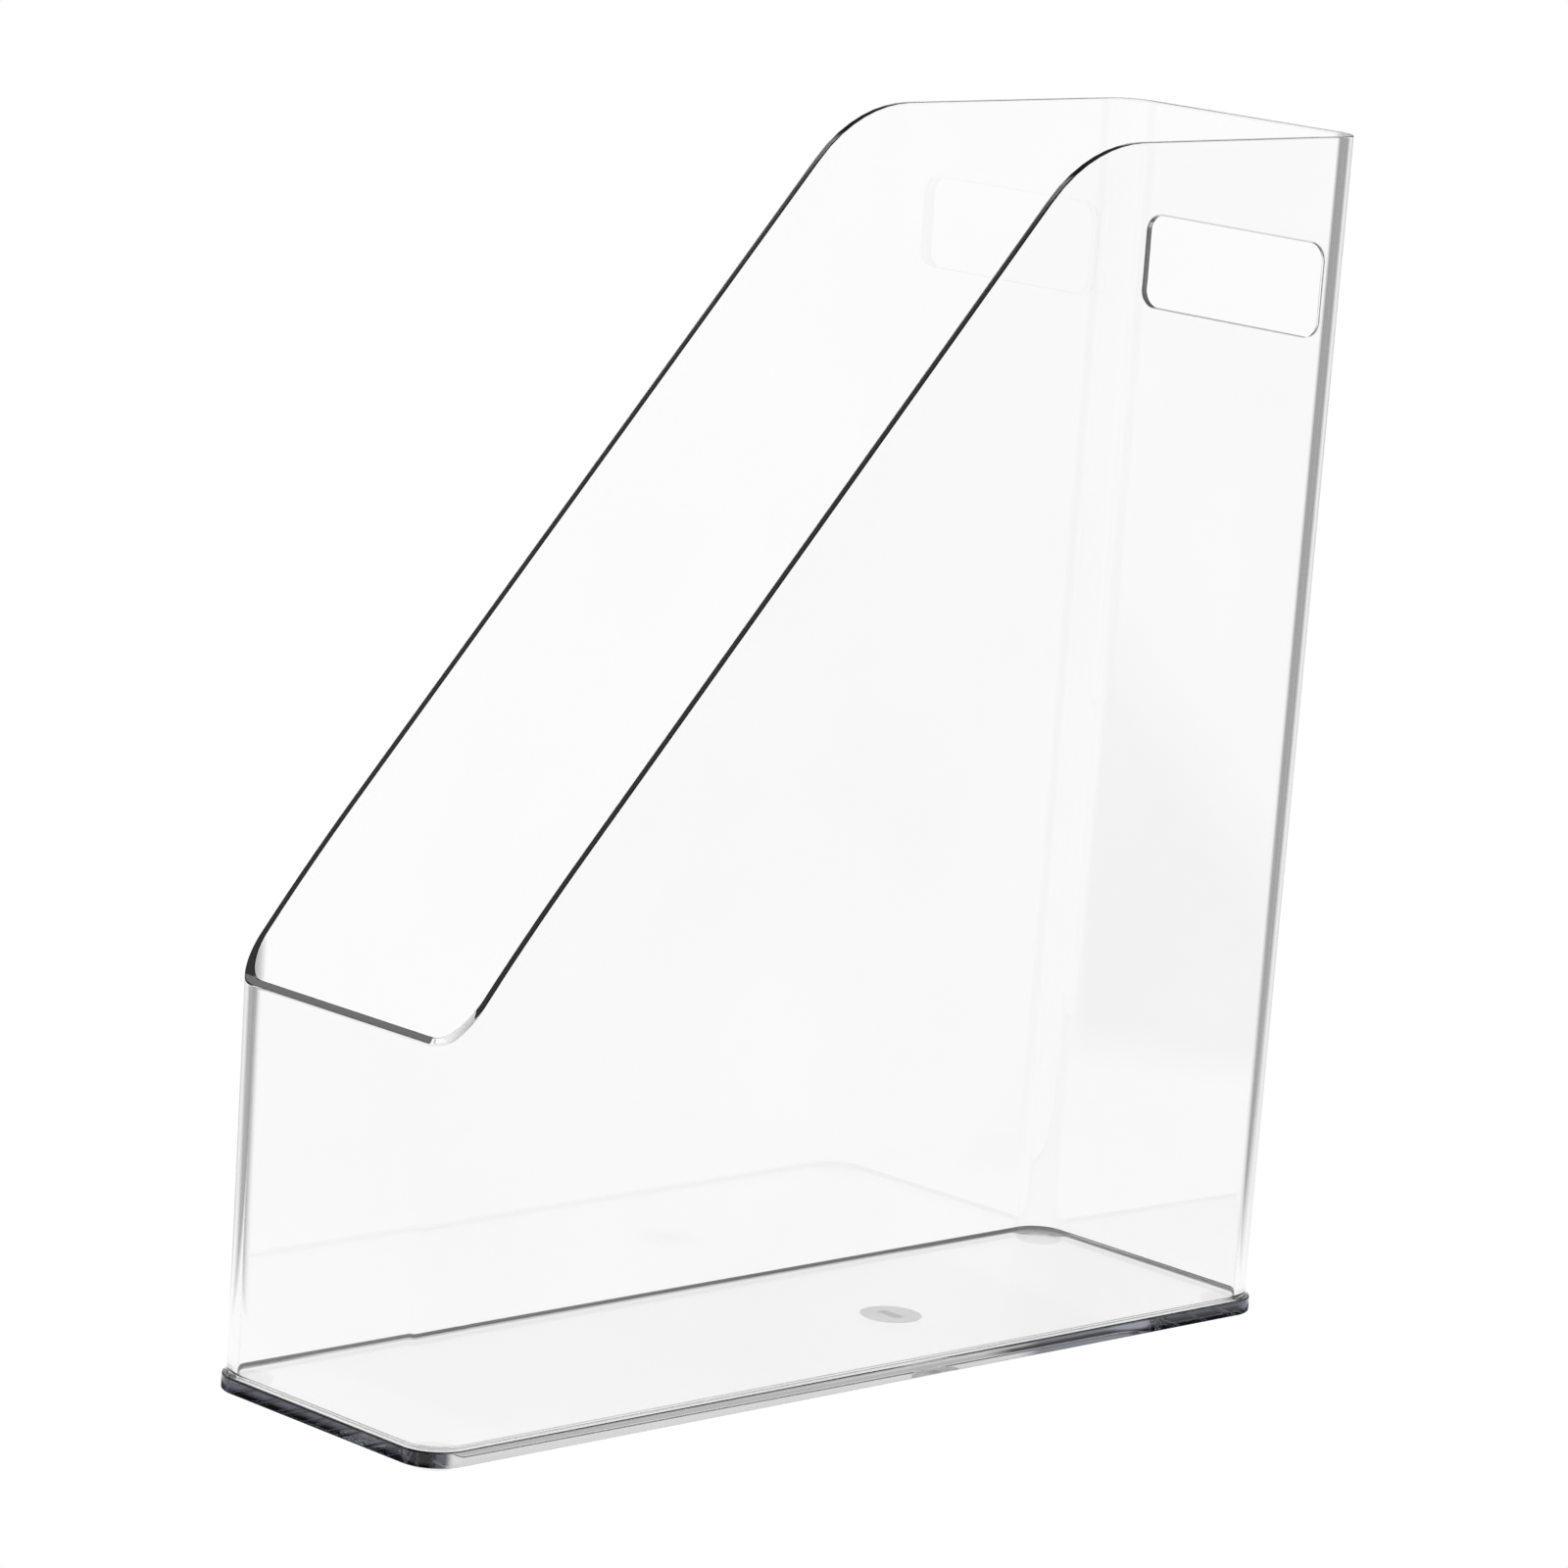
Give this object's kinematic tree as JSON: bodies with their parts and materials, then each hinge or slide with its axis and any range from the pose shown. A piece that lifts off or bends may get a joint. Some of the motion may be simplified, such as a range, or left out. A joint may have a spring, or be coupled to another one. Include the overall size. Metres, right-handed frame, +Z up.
{
  "type": "magazine file holder",
  "caption": "Upright clear plastic magazine file with slanted open sides, a low front wall, a hand slot in the tall back wall and a thick base plate that stands out slightly all round.",
  "frame": {"origin": "centre of the bounding box's bottom face, on the desk", "axes": "+X to the right across the narrow width, +Y from the low front wall towards the tall back wall with the hand slot, +Z up"},
  "size_m": [0.0854, 0.2892, 0.311],
  "materials": {
    "clear_shell": "clear, polished",
    "clear_base": "clear, polished",
    "clear_pad": "clear, soft",
    "frosted_disc": "frosted"
  },
  "bodies": {
    "root": {"shell": "clear_shell", "base_plate": "clear_base", "foot_front_left": "clear_pad", "foot_front_right": "clear_pad", "foot_back_left": "clear_pad", "foot_back_right": "clear_pad", "floor_disc": "frosted_disc"}
  },
  "joints": []
}
